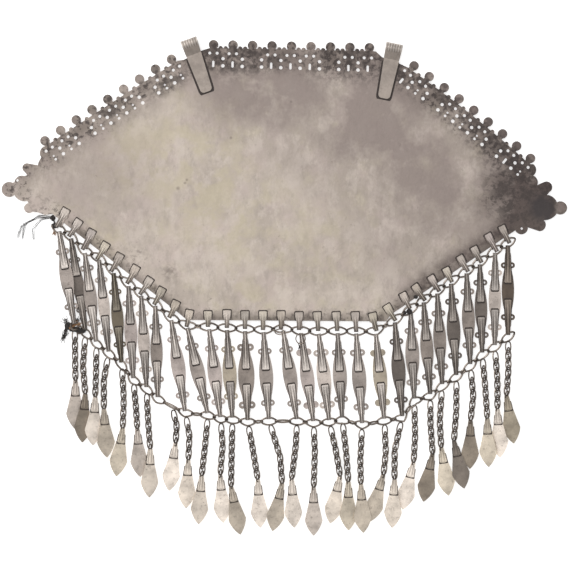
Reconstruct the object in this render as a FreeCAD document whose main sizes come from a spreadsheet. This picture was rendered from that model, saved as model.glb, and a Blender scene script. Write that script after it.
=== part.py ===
import FreeCAD, Part
import math
import os

# Turkmen chest ornament, lying on its front with the plain back up.
# Millimetres. +X is the wearer's side-to-side width, +Y points to the wearer's chin, +Z up from the floor.
# Places are charted on the photograph in its pixels; thicknesses, widths and wires are real sizes.

V = FreeCAD.Vector

SIZES = (
    ("mm_per_pixel", 0.53),
    ("centre_column", 284.35),
    ("centre_row", 286.12),
    ("plate_thickness", 1.2),
    ("strap_leaf", 0.6),
    ("strap_height", 2.4),
    ("strap_eye_gap", 1.2),
    ("strap_eye_depth", 3.4),
    ("strap_root_width", 4.0),
    ("strap_neck_width", 2.3),
    ("strap_root_length", 5.3),
    ("finial_radius", 2.5),
    ("finial_neck_width", 3.2),
    ("hook_length", 29.6),
    ("hook_top_width", 9.0),
    ("hook_foot_width", 6.4),
    ("hook_bore_radius", 1.8),
    ("hook_wall", 0.8),
    ("hook_leaf", 0.6),
    ("ring_radius", 2.45),
    ("ring_wire_radius", 0.245),
    ("link_wire_radius", 0.19),
    ("link_half_width", 0.82),
    ("eye_share", 61.0),
    ("least_spread", 2.05),
    ("most_spread", 2.30),
    ("tab_reach", 1.10),
    ("plaque_sheet", 0.8),
    ("plaque_tab_height", 1.8),
    ("tab_eye_gap", 1.0),
    ("tab_eye_wall", 0.45),
    ("tab_eye_depth", 3.0),
    ("tab_tip_width", 2.3),
    ("tab_root_width", 3.7),
    ("upper_tab_length", 20.0),
    ("lower_tab_length", 18.8),
    ("ear_radius", 1.6),
    ("ear_hole_radius", 0.52),
    ("ear_side", 2.12),
    ("pendant_length", 26.0),
    ("pendant_width", 9.4),
    ("pendant_sheet", 0.8),
    ("pendant_tab_height", 1.6),
    ("pendant_tab_length", 8.2),
    ("pendant_tab_width", 4.0),
    ("fringe_diameter", 3.2),
    ("fringe_axis_height", 1.7),
    ("clearance", 0.8),
    ("fringe_start_gap", 0.5),
    ("spindle_reach", 10.6),
    ("spindle_shoulder", 2.25),
    ("spindle_belly", 3.7),
    ("pendant_eye_depth", 2.6),
    ("knot_radius", 1.5),
    ("thread_lock_radius", 0.4),
)

# The three finialled edges, clockwise from the left tip. Columns: first and last finial centre, bow of the
# row, depth of the edge below the finial centres, bumps between two finials, first and last pierced group,
# the stretch of the piercings' depth, and the groups whose two inner holes have joined. All in pixels.
EDGE_COLUMNS = ("disc_x", "disc_y", "end_disc_x", "end_disc_y", "bow", "depth", "bumps",
                "group_x", "group_y", "end_group_x", "end_group_y", "stretch", "joined")
EDGES = (
    (45.1, 140.9, 171.5, 59.4, 0.8, 5.0, 1, 49.4, 149.2, 176.5, 68.3, 1.00, ()),
    (213.6, 44.9, 369.3, 47.9, 0.0, 3.3, 2, 213.5, 53.3, 367.8, 58.1, 1.07, range(9)),
    (413.9, 66.0, 530.3, 158.5, 2.4, 5.0, 1, 407.5, 73.1, 525.0, 165.2, 1.00, (0, 7)),
)
DISCS_PER_EDGE = 9
PLAIN_GROUPS = (2, 6)

# One pierced group. Columns: place along the edge in pitches, sideways offset, depth, radius.
PIERCING_COLUMNS = ("pitch", "aside", "depth", "radius")
PIERCINGS = (
    (0.0, -3.7, 0.0, 1.55),
    (0.0, 3.7, 0.0, 1.55),
    (0.0, 0.0, 8.1, 1.05),
    (0.0, 0.0, 12.0, 1.35),
    (0.5, 0.0, 4.9, 1.70),
    (0.5, 0.0, 11.6, 1.80),
)
EAR_HOLES = ((17.7, 180.5, 1.2), (521.5, 228.6, 1.2))

# Outline of the two ends and corners. Columns: a point that an arc passes through, or None for a straight
# edge, then the point where the edge ends.
OUTLINE_COLUMNS = ("via_x", "via_y", "x", "y")
LEFT_END = (
    (None, None, 45.0, 215.0),
    (None, None, 38.0, 212.3),
    (None, None, 32.5, 211.8),
    (24.3, 208.5, 28.8, 203.3),
    (None, None, 27.5, 200.8),
    (20.0, 200.4, 14.8, 194.8),
    (1.9, 189.2, 13.0, 182.9),
    (None, None, 14.8, 182.0),
    (18.0, 176.9, 24.5, 176.2),
    (None, None, 27.5, 175.2),
    (None, None, 25.0, 172.0),
    (22.9, 166.5, 27.5, 163.4),
    (None, None, 38.0, 165.3),
    (None, None, 38.9, 162.0),
    (None, None, 41.5, 157.5),
    (40.2, 151.5, 44.3, 146.6),
)
LEFT_CORNER = (
    (None, None, 177.5, 61.0),
    (None, None, 184.0, 60.0),
    (None, None, 202.0, 50.8),
)
RIGHT_CORNER = (
    (None, None, 376.0, 51.8),
    (None, None, 382.0, 57.5),
    (None, None, 400.0, 64.2),
)
RIGHT_END = (
    (None, None, 533.0, 164.3),
    (535.9, 169.5, 533.0, 175.7),
    (537.3, 180.5, 537.0, 185.2),
    (None, None, 544.0, 182.0),
    (551.8, 186.0, 549.0, 192.3),
    (None, None, 546.8, 195.0),
    (553.0, 197.4, 556.6, 202.4),
    (566.8, 208.0, 556.6, 213.6),
    (551.5, 218.4, 543.5, 220.3),
    (545.2, 227.0, 539.0, 231.3),
    (None, None, 527.6, 227.4),
    (521.3, 234.4, 515.2, 230.4),
    (None, None, 507.5, 235.5),
)
LOWER_EDGE = (
    (None, None, 391.0, 314.5),
    (None, None, 386.0, 321.4),
    (None, None, 187.0, 320.0),
    (None, None, 179.5, 313.6),
    (None, None, 55.5, 216.3),
    (None, None, 53.0, 214.0),
)

# The 29 drops, left to right. Columns: strap root, strap eye, top and foot of the spindle plaque (in
# photograph pixels), width of the plaque and of its ears against the usual one, places of the ears from the
# top and from the foot (mm), whether they are pierced, the roll in degrees that raises the right edge, and
# how far the foot is lifted over a neighbour (mm).
DROP_COLUMNS = ("root_x", "root_y", "eye_x", "eye_y", "top_x", "top_y", "foot_x", "foot_y",
                "width", "ears", "ear_up", "ear_low", "pierced", "roll", "lift")
DROPS = (
    (67, 209, 57.3, 225.7, 62.0, 233.0, 74.6, 324.0, 0.97, 1.0, 10.9, 9.4, True, 8, 2.2),
    (80, 220, 70.0, 235.0, 73.0, 238.0, 85.6, 331.0, 0.82, 0.85, 11.6, 11.4, True, 0, 0.0),
    (93, 230, 83.5, 248.0, 87.0, 254.0, 96.4, 341.5, 0.92, 1.0, 8.1, 9.9, True, -7.5, 1.5),
    (107, 243, 98.0, 258.0, 101.0, 258.0, 108.8, 351.5, 0.82, 0.92, 10.7, 10.4, True, -2, 0.0),
    (121, 254, 112.0, 270.0, 116.0, 272.0, 121.6, 362.5, 0.86, 0.9, 10.0, 9.6, True, 0, 0.0),
    (137, 266, 128.0, 282.0, 130.0, 286.0, 133.4, 378.0, 0.92, 1.0, 9.2, 9.4, True, -5.6, 1.0),
    (151, 278, 141.0, 293.0, 142.5, 295.0, 146.6, 387.0, 0.86, 0.92, 9.4, 9.4, True, -2, 0.0),
    (163, 288, 155.0, 303.0, 156.5, 305.0, 157.9, 397.0, 0.88, 0.95, 11.0, 9.4, True, -1, 0.0),
    (177, 301, 170.0, 316.0, 173.0, 320.0, 185.0, 411.0, 1.00, 1.0, 10.2, 8.6, True, 0, 0.0),
    (190, 310, 187.0, 325.0, 188.0, 327.0, 207.5, 413.0, 1.00, 1.0, 10.2, 8.6, True, 0, 0.0),
    (208, 311, 208.0, 325.0, 210.0, 329.0, 220.3, 417.0, 1.00, 1.0, 10.2, 8.2, True, 0, 0.0),
    (227, 310, 227.0, 326.0, 227.0, 330.0, 232.3, 417.5, 1.00, 1.0, 10.2, 11.3, True, 0, 0.0),
    (245, 311, 245.0, 327.0, 245.0, 331.0, 247.6, 420.0, 1.17, 1.2, 8.6, 8.0, True, 0, 0.0),
    (263, 311, 263.0, 328.0, 264.0, 332.0, 268.8, 419.0, 1.00, 1.0, 10.2, 8.6, True, 0, 0.0),
    (281, 311, 281.0, 327.0, 285.0, 330.0, 296.6, 419.0, 1.00, 1.0, 10.2, 8.6, True, 0, 0.0),
    (299, 312, 299.0, 328.0, 303.0, 334.0, 313.2, 421.0, 0.98, 1.1, 10.2, 8.6, False, 0, 0.0),
    (317, 312, 318.0, 329.0, 319.0, 334.0, 329.0, 420.0, 1.00, 1.1, 10.2, 8.2, True, 0, 0.0),
    (336, 312, 337.0, 329.0, 338.0, 333.0, 342.0, 417.5, 1.00, 1.0, 10.2, 9.8, True, 0, 0.0),
    (355, 312, 356.0, 330.0, 356.0, 333.0, 362.0, 423.0, 1.02, 1.1, 10.2, 8.6, True, 0, 0.0),
    (372, 313, 376.0, 329.0, 375.0, 334.0, 384.0, 418.5, 1.00, 1.1, 10.2, 8.6, False, 0, 0.0),
    (386, 305, 394.5, 319.0, 394.0, 322.0, 402.0, 416.0, 1.00, 1.0, 10.2, 8.6, True, 0, 0.0),
    (402, 293, 409.0, 307.0, 411.0, 312.0, 414.0, 398.5, 1.00, 1.0, 10.2, 8.6, True, 0, 0.0),
    (414, 285, 424.0, 299.0, 422.0, 302.0, 430.0, 394.0, 0.93, 1.0, 10.5, 9.2, True, 0, 0.0),
    (430, 276, 438.3, 289.8, 435.0, 293.0, 442.0, 384.0, 0.92, 1.0, 10.6, 9.3, True, 0, 0.0),
    (445, 268, 451.0, 280.5, 450.0, 283.0, 456.0, 375.0, 0.97, 1.0, 9.5, 10.3, True, 0, 0.0),
    (459, 256, 467.0, 270.0, 465.0, 273.0, 470.0, 364.0, 0.93, 1.0, 9.7, 10.0, True, 0, 0.0),
    (473, 247, 480.5, 261.0, 478.0, 264.0, 482.0, 352.5, 0.9, 1.0, 9.7, 9.3, True, 3, 0.0),
    (487, 234, 496.0, 250.0, 493.0, 252.0, 494.5, 345.0, 0.88, 1.0, 10.6, 9.5, True, 0, 0.0),
    (501, 226, 508.5, 241.5, 506.0, 245.0, 507.8, 335.0, 0.88, 1.0, 10.6, 9.5, True, 0, 0.0),
)

# The 29 fringe chains and the lozenge pendant that each carries. Columns: bend and low end of the chain,
# tip of the pendant, its roll in degrees and how far it is lifted in millimetres.
FRINGE_COLUMNS = ("bend_x", "bend_y", "low_x", "low_y", "tip_x", "tip_y", "roll", "lift")
FRINGE = (
    (75.4, 358, 75.6, 379, 75.0, 429.0, -11, 0.55),
    (82.2, 366, 85.6, 392, 82.4, 442.4, -12, 1.0),
    (96.2, 372, 95.6, 394, 93.0, 445.4, -12, 1.05),
    (103.2, 380, 104.0, 407, 107.2, 457.5, -12, 1.3),
    (124.6, 398, 122.9, 427, 116.4, 476.3, -12, 0.7),
    (136.4, 410, 137.6, 433, 140.3, 477.0, -9, 0.4),
    (148.0, 420, 150.4, 446, 149.3, 497.5, -14, 0.95),
    (177.6, 425, 175.6, 443, 169.0, 491.0, 0, 0.0),
    (190.4, 436, 188.4, 458, 186.0, 508.4, 0, 0.0),
    (205.2, 446, 201.6, 477, 198.5, 524.2, -13, 0.7),
    (223.4, 446, 220.2, 474, 223.3, 523.0, 0, 0.0),
    (231.8, 452, 230.2, 482, 240.3, 534.5, -13, 0.7),
    (252.4, 446, 257.8, 480, 260.3, 527.8, 0, 0.0),
    (281.2, 456, 282.4, 481, 272.4, 531.0, -8, 0.5),
    (296.0, 446, 291.6, 479, 294.2, 527.8, -8, 0.5),
    (315.2, 452, 313.6, 485, 313.6, 535.7, 0, 0.0),
    (336.0, 450, 339.6, 478, 330.0, 523.6, 0, 0.0),
    (346.4, 452, 348.2, 481, 348.5, 530.3, -10, 0.5),
    (359.8, 460, 360.8, 484, 363.3, 532.7, 0, 1.0),
    (386.4, 452, 382.8, 476, 370.0, 521.5, 0, 0.0),
    (393.2, 450, 394.6, 476, 392.0, 527.8, 10, 1.15),
    (415.4, 436, 413.4, 462, 402.4, 509.7, 0, 0.0),
    (430.0, 424, 432.8, 452, 423.3, 501.8, 0, 0.0),
    (438.8, 420, 441.4, 449, 448.5, 495.7, 0, 0.0),
    (456.6, 410, 453.6, 440, 464.0, 488.5, 0, 1.0),
    (474.0, 396, 470.4, 418, 469.7, 469.0, 0, 0.0),
    (485.0, 386, 487.0, 416, 488.5, 467.0, 14, 0.8),
    (497.6, 380, 497.0, 405, 500.0, 457.5, 12, 0.6),
    (508.6, 370, 506.4, 396, 513.7, 443.6, 0, 0.0),
)

# The lower chain has one ring more after this drop, and the drop's fringe chain hangs from it.
EXTRA_RING_AFTER = 8

# Groups of fringe chains and pendants that share a node, by the first and last drop.
FRINGE_GROUPS = (("left", 1, 10), ("middle", 11, 19), ("right", 20, 29))

# The large hooks. Columns: fold at the top, rounded foot.
HOOK_COLUMNS = ("top_x", "top_y", "foot_x", "foot_y")
HOOKS = (("hook_left", (188.4, 39.4, 206.8, 91.0)), ("hook_right", (394.6, 43.8, 383.2, 100.0)))

# Tufts of thread: a knot and the locks that leave it. Columns: knot, then the points of each lock.
TUFTS = (
    ("thread_tuft_upper", (51.9, 217.5),
     (((51.9, 218.6), (41.0, 217.4), (30.5, 220.0), (24.5, 228.0)),
      ((51.9, 219.2), (42.0, 220.0), (32.0, 226.5), (27.0, 240.0)))),
    ("thread_tuft_lower", (66.4, 326.6),
     (((66.4, 326.6), (68.0, 322.4), (65.6, 319.8)),
      ((66.4, 326.6), (66.0, 332.0), (63.4, 337.0)))),
)

doc = FreeCAD.newDocument("turkmen_chest_ornament")
sheet = doc.addObject("Spreadsheet::Sheet", "sizes")
for line, (alias, value) in enumerate(SIZES, start=1):
    sheet.set("A%d" % line, alias)
    sheet.set("B%d" % line, str(value))
    sheet.setAlias("B%d" % line, alias)
doc.recompute()


def size(alias):
    return float(sheet.get(alias))


def rows(columns, table):
    return [dict(zip(columns, row)) for row in table]


def place(x, y, z=0.0):
    """A place charted on the photograph, in the part's frame."""
    scale = size("mm_per_pixel")
    return V((x - size("centre_column")) * scale, (size("centre_row") - y) * scale, z)


def lay(start, finish, roll=0.0):
    """Placement at start: x axis towards finish, y axis level and to its left before the roll."""
    along = (finish - start).normalize()
    side = V(0, 0, 1).cross(along).normalize()
    level = FreeCAD.Rotation(along, side, along.cross(side), "XYZ")
    return FreeCAD.Placement(start, level.multiply(FreeCAD.Rotation(V(1, 0, 0), roll)))


def outline(points):
    """Edges of a closed outline: each row is an optional point on an arc, then the point it ends at."""
    edges = []
    corner = points[-1][1]
    for via, point in points:
        if (point - corner).Length > 1e-6:
            edges.append(Part.LineSegment(corner, point) if via is None else Part.Arc(corner, via, point))
        corner = point
    return edges


def mirrored(half):
    """A closed outline from its half, which starts and ends on the x axis."""
    flip = [(None if via is None else V(via.x, -via.y, 0), V(point.x, -point.y, 0)) for via, point in half]
    back = [(flip[index][0], flip[index - 1][1]) for index in range(len(flip) - 1, 0, -1)]
    return half[1:] + back


def turned(points, length):
    """The same outline at the other end of a piece of this length."""
    return [(None if via is None else V(length - via.x, -via.y, 0), V(length - point.x, -point.y, 0))
            for via, point in points]


def circle(x, y, radius):
    return Part.Circle(V(x, y, 0), V(0, 0, 1), radius)


def body(label):
    made = doc.addObject("PartDesign::Body", label)
    made.Label = label
    return made


def sketch(owner, role, name, geometry):
    made = owner.newObject("Sketcher::SketchObject", name)
    plane = [feature for feature in owner.Origin.OriginFeatures if feature.Role == role][0]
    made.AttachmentSupport = [(plane, "")]
    made.MapMode = "FlatFace"
    made.addGeometry(geometry, False)
    return made


def pad(owner, name, profile, alias):
    made = owner.newObject("PartDesign::Pad", name)
    made.Profile = profile
    made.SideType = "Symmetric"
    made.setExpression("Length", "sizes." + alias)
    return made


def pocket(owner, name, profile):
    made = owner.newObject("PartDesign::Pocket", name)
    made.Profile = profile
    made.SideType = "Symmetric"
    made.Type = "ThroughAll"
    return made


def eye_gap(wall, depth, height):
    """Side view of the gap in a folded strip, round at the fold."""
    half = height / 2
    return [
        (V(wall, 0, 0), V(wall + half, half, 0)),
        (None, V(wall + depth, half, 0)),
        (None, V(wall + depth, -half, 0)),
        (None, V(wall + half, -half, 0)),
    ]


def fold_trims(radius):
    """Side view of the two corners that leave the fold of a strip round."""
    trims = []
    lean = radius * math.sqrt(0.5)
    for sign in (1, -1):
        trims.append([
            (None, V(-1, sign * (radius + 1), 0)),
            (None, V(radius, sign * (radius + 1), 0)),
            (None, V(radius, sign * radius, 0)),
            (V(radius - lean, sign * lean, 0), V(0, 0, 0)),
            (None, V(-1, 0, 0)),
        ])
    return trims


def strip_plan(length, tip_width, root_width, root_length=0.0):
    """Footprint of a folded strip: narrow at its eye, wide and soft-cornered at its root."""
    soft = root_width / 3
    half = [(None, V(0, 0, 0)), (None, V(0, tip_width / 2, 0))]
    if root_length:
        half.append((None, V(length - root_length, tip_width / 2, 0)))
        half.append((None, V(length - root_length + soft / 2, root_width / 2, 0)))
    half.append((None, V(length - soft, root_width / 2, 0)))
    half.append((V(length - soft * 0.29, root_width / 2 - soft * 0.29, 0), V(length, root_width / 2 - soft, 0)))
    half.append((None, V(length, 0, 0)))
    return mirrored(half)


def edge_frame(edge):
    """Unit vectors along an edge and inwards, in pixels."""
    along = V(edge["end_disc_x"] - edge["disc_x"], edge["end_disc_y"] - edge["disc_y"], 0).normalize()
    return along, V(-along.y, along.x, 0)


def bowed(first, last, share, inward, bow):
    return first + (last - first) * share - inward * (bow * 4 * share * (1 - share))


def finial_outline(edge):
    """The scalloped outline of one edge in pixels: finials on necks, with small bumps between them."""
    along, inward = edge_frame(edge)
    first = V(edge["disc_x"], edge["disc_y"], 0)
    last = V(edge["end_disc_x"], edge["end_disc_y"], 0)
    radius = size("finial_radius") / size("mm_per_pixel")
    neck = size("finial_neck_width") / size("mm_per_pixel") / 2
    contact = min(edge["depth"], math.sqrt(radius ** 2 - neck ** 2))
    waist = along * math.sqrt(radius ** 2 - contact ** 2)
    base = inward * edge["depth"]
    bump = 2.1
    points = []
    for index in range(DISCS_PER_EDGE):
        disc = bowed(first, last, index / (DISCS_PER_EDGE - 1), inward, edge["bow"])
        points.append((None, disc - waist + base))
        points.append((None, disc - waist + inward * contact))
        points.append((disc - inward * radius, disc + waist + inward * contact))
        points.append((None, disc + waist + base))
        if index < DISCS_PER_EDGE - 1:
            following = bowed(first, last, (index + 1) / (DISCS_PER_EDGE - 1), inward, edge["bow"])
            for turn in range(edge["bumps"]):
                share = 0.12 + 0.76 * (turn + 1) / (edge["bumps"] + 1)
                centre = disc + (following - disc) * share + base
                points.append((None, centre - along * bump))
                points.append((centre - inward * bump, centre + along * bump))
    return points


def charted(table):
    points = []
    for row in rows(OUTLINE_COLUMNS, table):
        via = None if row["via_x"] is None else V(row["via_x"], row["via_y"], 0)
        points.append((via, V(row["x"], row["y"], 0)))
    return points


def from_pixels(points):
    return [(None if via is None else place(via.x, via.y), place(point.x, point.y)) for via, point in points]


def plate_outline():
    left, top, right = rows(EDGE_COLUMNS, EDGES)
    points = charted(LEFT_END) + finial_outline(left) + charted(LEFT_CORNER) + finial_outline(top)
    points += charted(RIGHT_CORNER) + finial_outline(right) + charted(RIGHT_END) + charted(LOWER_EDGE)
    return from_pixels(points)


def round_hole(centre, radius):
    spot = place(centre.x, centre.y)
    return [circle(spot.x, spot.y, radius * size("mm_per_pixel"))]


def joined_hole(near, far, along, inward, radius):
    """Two holes of one group that run into each other."""
    return outline(from_pixels([
        (None, near - along * radius),
        (near - inward * radius, near + along * radius),
        (None, far + along * radius),
        (far + inward * radius, far - along * radius),
    ]))


def plate_piercings():
    """The pierced border: seven groups of holes along each finialled edge, and a hole in two ears."""
    holes = []
    for edge in rows(EDGE_COLUMNS, EDGES):
        along, inward = edge_frame(edge)
        first = V(edge["group_x"], edge["group_y"], 0)
        last = V(edge["end_group_x"], edge["end_group_y"], 0)
        for index in range(DISCS_PER_EDGE):
            deep = []
            for hole in rows(PIERCING_COLUMNS, PIERCINGS):
                share = (index + hole["pitch"]) / (DISCS_PER_EDGE - 1)
                plain = index in PLAIN_GROUPS and hole["pitch"] == 0
                if plain or share > 1:
                    continue
                middle = bowed(first, last, share, inward, edge["bow"] * 0.6)
                centre = middle + along * hole["aside"] + inward * (hole["depth"] * edge["stretch"])
                inner = hole["pitch"] == 0 and hole["depth"] > 0
                if inner and index in edge["joined"]:
                    deep.append(centre)
                else:
                    holes += round_hole(centre, hole["radius"])
            if deep:
                holes += joined_hole(deep[0], deep[1], along, inward, 1.2)
    for x, y, radius in EAR_HOLES:
        holes += round_hole(V(x, y, 0), radius)
    return holes


def make_plate_sheet():
    made = body("plate_sheet")
    pad(made, "plate_pad", sketch(made, "XY_Plane", "plate_plan", outline(plate_outline())), "plate_thickness")
    pocket(made, "plate_piercing", sketch(made, "XY_Plane", "plate_holes", plate_piercings()))
    made.setExpression("Placement.Base.z", "sizes.strap_leaf + sizes.plate_thickness / 2")
    return made


def hang_drop(row):
    """Where a drop's upper ring lies between the strap's eye and the plaque's eye that it joins."""
    middle = size("strap_height") / 2
    root, eye = place(row["root_x"], row["root_y"], middle), place(row["eye_x"], row["eye_y"], middle)
    top = place(row["top_x"], row["top_y"], middle)
    foot = place(row["foot_x"], row["foot_y"], middle + row["lift"])
    spread = min(max((top - eye).Length, size("least_spread")), size("most_spread"))
    strap_reach, tab_reach = spread * 0.46, spread * 0.54
    lean, hang = (eye - root).normalize(), (foot - top).normalize()
    centre = (eye + lean * strap_reach + top - hang * tab_reach) * 0.5
    centre.z = middle
    lean = (centre - root).normalize()
    for settle in range(3):
        normal = lay(centre, foot, row["roll"]).Rotation.multVec(V(0, 0, 1))
        in_strap = (lean - normal * normal.dot(lean)).normalize() * -size("ring_radius")
        centre.z = middle - in_strap.z
    level = V(centre.x, centre.y, middle)
    return {"root": root, "eye": level - lean * strap_reach, "foot": foot, "centre": centre,
            "normal": normal, "lean": lean, "tab_reach": tab_reach}


def make_strap(number, hold):
    """A strip folded round its ring and soldered to both faces of the plate."""
    middle = size("strap_height") / 2
    eye, root = hold["eye"], hold["root"]
    length = (root - eye).Length
    label = "strap_%02d" % number
    made = body(label)
    plan = strip_plan(length, size("strap_neck_width"), size("strap_root_width"), size("strap_root_length"))
    pad(made, label + "_pad", sketch(made, "XY_Plane", label + "_plan", outline(plan)), "strap_height")
    side = outline(eye_gap(size("strap_leaf"), size("strap_eye_depth"), size("strap_eye_gap")))
    pocket(made, label + "_eye", sketch(made, "XZ_Plane", label + "_gap", side))
    for end, trim in zip(("back", "front"), fold_trims(middle)):
        pocket(made, label + "_fold_" + end, sketch(made, "XZ_Plane", label + "_round_" + end, outline(trim)))
    made.Placement = lay(eye, root)
    return made


def make_hook(label, row):
    """A broad strip folded over the plate's corner round an open bore, gripping both faces."""
    top = place(row[0], row[1])
    foot = place(row[2], row[3])
    bore, wall, leaf = size("hook_bore_radius"), size("hook_wall"), size("hook_leaf")
    outer = bore + wall
    slack = 0.1
    low = size("strap_leaf") - slack
    high = size("strap_leaf") + size("plate_thickness") + slack
    length = size("hook_length")
    mouth = 2 * outer + 1.9
    made = body(label)
    side = [
        (None, V(length * 0.62, 0, 0)),
        (None, V(length * 0.62, low, 0)),
        (None, V(mouth, low, 0)),
        (None, V(mouth, high, 0)),
        (None, V(length, high, 0)),
        (None, V(length, high + leaf, 0)),
        (None, V(mouth + 1.5, high + leaf, 0)),
        (None, V(outer * 1.75, outer * 1.6614, 0)),
        (V(outer, 2 * outer, 0), V(outer * 0.25, outer * 1.6614, 0)),
        (V(0, outer, 0), V(outer, 0, 0)),
    ]
    pad(made, label + "_strip", sketch(made, "XZ_Plane", label + "_side", outline(side)), "hook_top_width")
    pocket(made, label + "_bore", sketch(made, "XZ_Plane", label + "_round", [circle(outer, outer, bore)]))
    wide, narrow = size("hook_top_width") / 2, size("hook_foot_width") / 2
    for end, sign in (("left", 1), ("right", -1)):
        trim = [
            (None, V(0, sign * (wide + 1), 0)),
            (None, V(length + 1, sign * (wide + 1), 0)),
            (None, V(length + 1, sign * narrow * 0.4, 0)),
            (None, V(length, sign * narrow * 0.4, 0)),
            (V(length - narrow * 0.18, sign * narrow * 0.82, 0), V(length - narrow * 0.6, sign * narrow, 0)),
            (None, V(0, sign * wide, 0)),
        ]
        pocket(made, label + "_taper_" + end, sketch(made, "XY_Plane", label + "_plan_" + end, outline(trim)))
    made.Placement = lay(top, foot)
    return made


def make_plaque(number, row, frame, length):
    """A spindle sheet with two pairs of ears, held in a folded strip at each end."""
    label = "plaque_%02d" % number
    made = body(label)
    start, middle, reach = size("tab_eye_depth"), length / 2, size("spindle_reach")
    shoulder, belly = size("spindle_shoulder") * row["width"], size("spindle_belly") * row["width"]
    tip = size("tab_tip_width")
    half = [
        (None, V(start, 0, 0)),
        (None, V(start, tip / 2, 0)),
        (None, V(middle - reach, shoulder, 0)),
        (V(middle, belly, 0), V(middle + reach, shoulder, 0)),
        (None, V(length - start, tip / 2, 0)),
        (None, V(length - start, 0, 0)),
    ]
    pad(made, label + "_sheet", sketch(made, "XY_Plane", label + "_spindle", outline(mirrored(half))),
        "plaque_sheet")
    upper, lower = row["ear_up"], length - row["ear_low"]
    aside = size("ear_side") * row["ears"]
    ears = [(upper, aside), (upper, -aside), (lower, aside), (lower, -aside)]
    discs = [circle(x, y, size("ear_radius") * row["ears"]) for x, y in ears]
    pad(made, label + "_ears", sketch(made, "XY_Plane", label + "_ear_discs", discs), "plaque_sheet")
    strips = outline(strip_plan(size("upper_tab_length"), tip, size("tab_root_width")))
    strips += outline(turned(strip_plan(size("lower_tab_length"), tip, size("tab_root_width")), length))
    pad(made, label + "_tabs", sketch(made, "XY_Plane", label + "_tab_plans", strips), "plaque_tab_height")
    gap = eye_gap(size("tab_eye_wall"), size("tab_eye_depth"), size("tab_eye_gap"))
    pocket(made, label + "_eyes", sketch(made, "XZ_Plane", label + "_gaps",
                                         outline(gap) + outline(turned(gap, length))))
    for end, trim in zip(("back", "front"), fold_trims(size("plaque_tab_height") / 2)):
        pocket(made, label + "_folds_" + end, sketch(made, "XZ_Plane", label + "_rounds_" + end,
                                                     outline(trim) + outline(turned(trim, length))))
    if row["pierced"]:
        holes = [circle(x, y, size("ear_hole_radius")) for x, y in ears]
        pocket(made, label + "_piercing", sketch(made, "XY_Plane", label + "_holes", holes))
    made.Placement = frame
    return made


def make_pendant(number, frame):
    """A lozenge of sheet held in a folded strip with an eye."""
    label = "pendant_%02d" % number
    made = body(label)
    length, width, depth = size("pendant_length"), size("pendant_width"), size("pendant_eye_depth")
    half = [
        (None, V(depth, 0, 0)),
        (None, V(depth, width * 0.138, 0)),
        (V(length * 0.423, width * 0.335, 0), V(length * 0.68, width / 2, 0)),
        (V(length * 0.87, width * 0.29, 0), V(length, 0, 0)),
    ]
    pad(made, label + "_sheet", sketch(made, "XY_Plane", label + "_lozenge", outline(mirrored(half))),
        "pendant_sheet")
    strip = strip_plan(size("pendant_tab_length"), size("tab_tip_width") * 0.93, size("pendant_tab_width"))
    pad(made, label + "_tab", sketch(made, "XY_Plane", label + "_tab_plan", outline(strip)),
        "pendant_tab_height")
    gap = eye_gap(size("tab_eye_wall"), depth, size("tab_eye_gap"))
    pocket(made, label + "_eye", sketch(made, "XZ_Plane", label + "_gap", outline(gap)))
    for end, trim in zip(("back", "front"), fold_trims(size("pendant_tab_height") / 2)):
        pocket(made, label + "_fold_" + end, sketch(made, "XZ_Plane", label + "_round_" + end, outline(trim)))
    made.Placement = frame
    return made


def make_ring(label, centre, normal):
    made = doc.addObject("Part::Torus", label)
    made.Label = label
    made.setExpression("Radius1", "sizes.ring_radius")
    made.setExpression("Radius2", "sizes.ring_wire_radius")
    made.Placement = FreeCAD.Placement(centre, FreeCAD.Rotation(V(0, 0, 1), normal))
    return made


def shape_object(label, shape):
    made = doc.addObject("Part::Feature", label)
    made.Label = label
    made.Shape = shape
    return made


def swept(path, radius):
    """A round wire along a path of straight runs and arcs."""
    first = path[0]
    start = first.valueAt(first.FirstParameter)
    section = Part.Wire(Part.makeCircle(radius, start, first.tangentAt(first.FirstParameter)))
    tube = Part.Wire(path).makePipeShell([section], True, False)
    expected = math.pi * radius ** 2 * sum(edge.Length for edge in path)
    if abs(tube.Volume / expected - 1) > 0.01:
        print("tube volume", round(tube.Volume, 3), "expected", round(expected, 3))
    return tube


def make_link(label, near, far):
    """A long closed link on its edge, its ends centred on the wires of two rings."""
    half = size("link_half_width")
    near = near - (far - near).normalize() * half
    far = far + (far - near).normalize() * half
    length = (far - near).Length
    straight = V(half, half, 0), V(length - half, half, 0), V(length - half, -half, 0), V(half, -half, 0)
    path = [
        Part.LineSegment(straight[0], straight[1]).toShape(),
        Part.Arc(straight[1], V(length, 0, 0), straight[2]).toShape(),
        Part.LineSegment(straight[2], straight[3]).toShape(),
        Part.Arc(straight[3], V(0, 0, 0), straight[0]).toShape(),
    ]
    made = shape_object(label, swept(path, size("link_wire_radius")))
    made.Placement = lay(near, far, 90)
    return made


def rounded_route(points):
    """Straight runs with tangent arcs at the bends, for a tube or a lock of thread."""
    path = []
    corner = points[0]
    for index in range(1, len(points) - 1):
        before, bend, after = points[index - 1], points[index], points[index + 1]
        back, ahead = (before - bend), (after - bend)
        shorter = min(back.Length, ahead.Length)
        back.normalize()
        ahead.normalize()
        turn = math.pi - back.getAngle(ahead)
        if turn < math.radians(0.6):
            continue
        trim = 0.45 * shorter
        radius = trim / math.tan(turn / 2)
        inward = (back + ahead).normalize()
        middle = bend + inward * (math.hypot(trim, radius) - radius)
        start, end = bend + back * trim, bend + ahead * trim
        path.append(Part.LineSegment(corner, start).toShape())
        path.append(Part.Arc(start, middle, end).toShape())
        bends.append(radius)
        corner = end
    path.append(Part.LineSegment(corner, points[-1]).toShape())
    return path


def grouped(label, members):
    made = doc.addObject("Part::Compound", label)
    made.Label = label
    made.Links = members
    return made


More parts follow.
